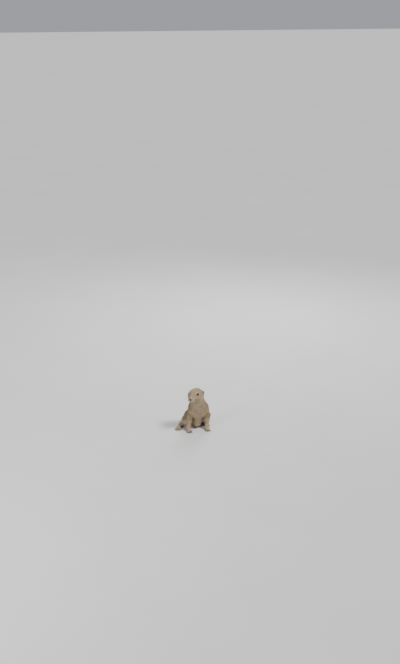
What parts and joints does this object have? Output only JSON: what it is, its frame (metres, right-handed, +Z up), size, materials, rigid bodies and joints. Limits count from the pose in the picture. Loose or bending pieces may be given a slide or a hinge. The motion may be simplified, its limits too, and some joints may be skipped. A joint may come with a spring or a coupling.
{
  "type": "prairie dog",
  "caption": "Life-size still prairie dog sitting up on its haunches with straight forelegs, head turned to its right, short buff fur and dark-tipped tail on the floor.",
  "frame": {"origin": "on the floor, under the middle of the whole animal's bounding box", "axes": "-Y the way the animal's body faces, +X its left, +Z up"},
  "size_m": [0.1389, 0.1829, 0.1621],
  "materials": {
    "fur": "short dense buff fur",
    "pale_fur": "short dense pale fur",
    "tail_fur": "longer dark fur",
    "bare_skin": "dark bare skin",
    "claw": "dark horn",
    "eye": "wet gloss"
  },
  "bodies": {
    "root": {"chest": "pale_fur", "ear_left": "fur", "ear_right": "fur", "eye_left": "eye", "eye_right": "eye", "forearm_left": "fur", "forearm_right": "fur", "foreclaw_left_1": "claw", "foreclaw_left_2": "claw", "foreclaw_left_3": "claw", "foreclaw_left_4": "claw", "foreclaw_left_5": "claw", "foreclaw_right_1": "claw", "foreclaw_right_2": "claw", "foreclaw_right_3": "claw", "foreclaw_right_4": "claw", "foreclaw_right_5": "claw", "forepaw_left": "pale_fur", "forepaw_right": "pale_fur", "haunch_left": "fur", "haunch_right": "fur", "head": "fur", "hind_foot_left": "pale_fur", "hind_foot_right": "pale_fur", "hindclaw_left_1": "claw", "hindclaw_left_2": "claw", "hindclaw_left_3": "claw", "hindclaw_left_4": "claw", "hindclaw_left_5": "claw", "hindclaw_right_1": "claw", "hindclaw_right_2": "claw", "hindclaw_right_3": "claw", "hindclaw_right_4": "claw", "hindclaw_right_5": "claw", "neck": "fur", "nose": "bare_skin", "rump": "fur", "tail_base": "fur", "tail_tip": "tail_fur", "upper_arm_left": "fur", "upper_arm_right": "fur"}
  },
  "joints": []
}
